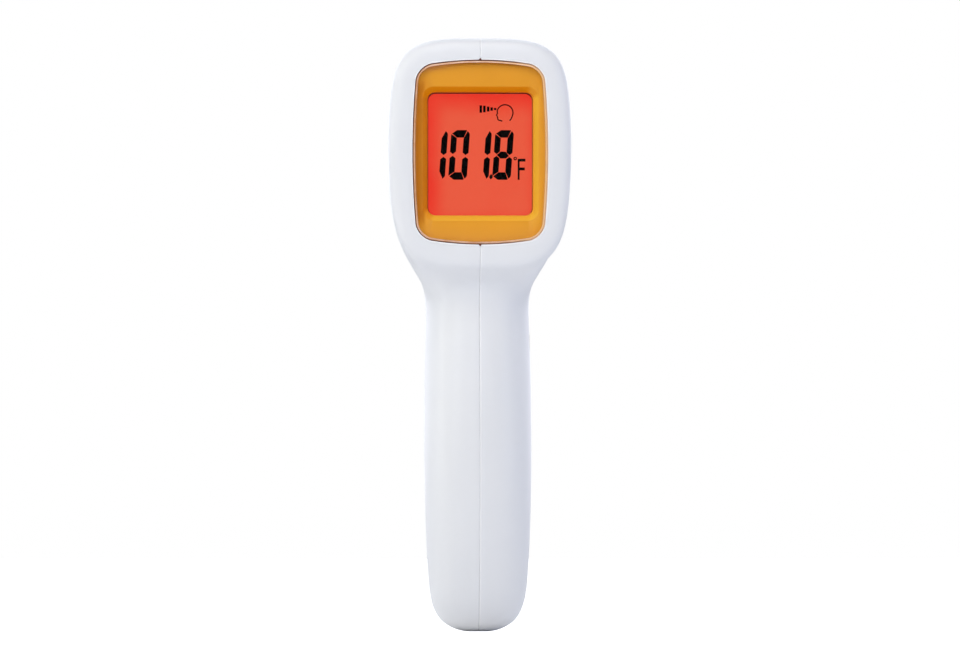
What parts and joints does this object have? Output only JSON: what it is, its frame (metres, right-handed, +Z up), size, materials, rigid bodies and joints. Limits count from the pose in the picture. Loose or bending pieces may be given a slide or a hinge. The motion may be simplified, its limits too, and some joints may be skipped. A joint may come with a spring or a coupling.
{
  "type": "infrared forehead thermometer",
  "caption": "Pistol-shaped digital thermometer with a backlit display at the rear, a sensor nose, a trigger, side buttons and a battery door.",
  "frame": {"origin": "under the middle of the bounding box, level with the foot of the handle", "axes": "+Z up along the handle, +Y from the display to the sensor nose, +X to the right as seen from the display side"},
  "size_m": [0.0454, 0.086, 0.147],
  "materials": {
    "white_plastic": "satin white moulded ABS",
    "clear_window": "polished clear acrylic",
    "amber_plastic": "satin amber moulded plastic",
    "lcd_glass": "backlit red display with black figures",
    "light_guide": "frosted white plastic",
    "zebra_rubber": "striped contact rubber",
    "green_board": "green solder mask on glass fibre",
    "black_plastic": "fine matt black",
    "grey_plastic": "satin grey",
    "orange_plastic": "satin orange moulded plastic",
    "bright_steel": "bright zinc plated",
    "nickel_brass": "turned and nickel washed",
    "silicon_filter": "dark coated silicon",
    "cell_jacket": "plain printed film on a steel can",
    "red_wire": "soft insulation",
    "black_wire": "soft insulation"
  },
  "bodies": {
    "case": {"left_case": "white_plastic", "right_case": "white_plastic", "nose_cone": "white_plastic", "display_window": "clear_window", "display_bezel": "amber_plastic", "lcd_panel": "lcd_glass", "backlight_guide": "light_guide", "power_connector": "light_guide", "sensor_connector": "light_guide", "zebra_strip": "zebra_rubber", "main_board": "green_board", "sensor_board": "green_board", "button_board": "green_board", "trigger_board": "green_board", "controller_chip": "black_plastic", "buzzer": "black_plastic", "mode_switch": "black_plastic", "memory_switch": "black_plastic", "unit_switch": "black_plastic", "trigger_switch": "black_plastic", "battery_tray": "black_plastic", "nose_ring": "orange_plastic", "sensor_sleeve": "nickel_brass", "positive_contact": "nickel_brass", "bridge_contact": "nickel_brass", "thermopile_can": "bright_steel", "trigger_pin": "bright_steel", "door_pin": "bright_steel", "upper_battery_spring": "bright_steel", "lower_battery_spring": "bright_steel", "case_screw_1": "bright_steel", "case_screw_2": "bright_steel", "case_screw_3": "bright_steel", "case_screw_4": "bright_steel", "case_screw_5": "bright_steel", "thermopile_filter": "silicon_filter", "right_battery": "cell_jacket", "left_battery": "cell_jacket", "positive_lead": "red_wire", "negative_lead": "black_wire", "sensor_cable": "black_wire"},
    "trigger": {"trigger": "orange_plastic", "trigger_plunger": "grey_plastic"},
    "battery_door": {"battery_door": "white_plastic"},
    "mode_button": {"mode_button": "grey_plastic", "mode_plunger": "bright_steel"},
    "memory_button": {"memory_button": "grey_plastic", "memory_plunger": "bright_steel"},
    "unit_button": {"unit_button": "grey_plastic", "unit_plunger": "bright_steel"}
  },
  "joints": [
    {"name": "trigger_pull", "type": "hinge", "parent": "case", "child": "trigger", "pos_m": [0, -0.0075, 0.0885], "axis": [-1, 0, 0], "range_deg": [0, 5], "stiffness_Nm_per_rad": 0.3, "springref_deg": -4.58},
    {"name": "battery_door_hinge", "type": "hinge", "parent": "case", "child": "battery_door", "pos_m": [0, -0.015, 0.012], "axis": [-1, 0, 0], "range_deg": [0, 90]},
    {"name": "mode_button_press", "type": "slide", "parent": "case", "child": "mode_button", "axis": [1, 0, 0], "range_m": [0, 0.0005], "stiffness_N_per_m": 2000, "springref_m": -0.0004},
    {"name": "memory_button_press", "type": "slide", "parent": "case", "child": "memory_button", "axis": [1, 0, 0], "range_m": [0, 0.0005], "stiffness_N_per_m": 2000, "springref_m": -0.0004},
    {"name": "unit_button_press", "type": "slide", "parent": "case", "child": "unit_button", "axis": [1, 0, 0], "range_m": [0, 0.0005], "stiffness_N_per_m": 2000, "springref_m": -0.0004}
  ]
}
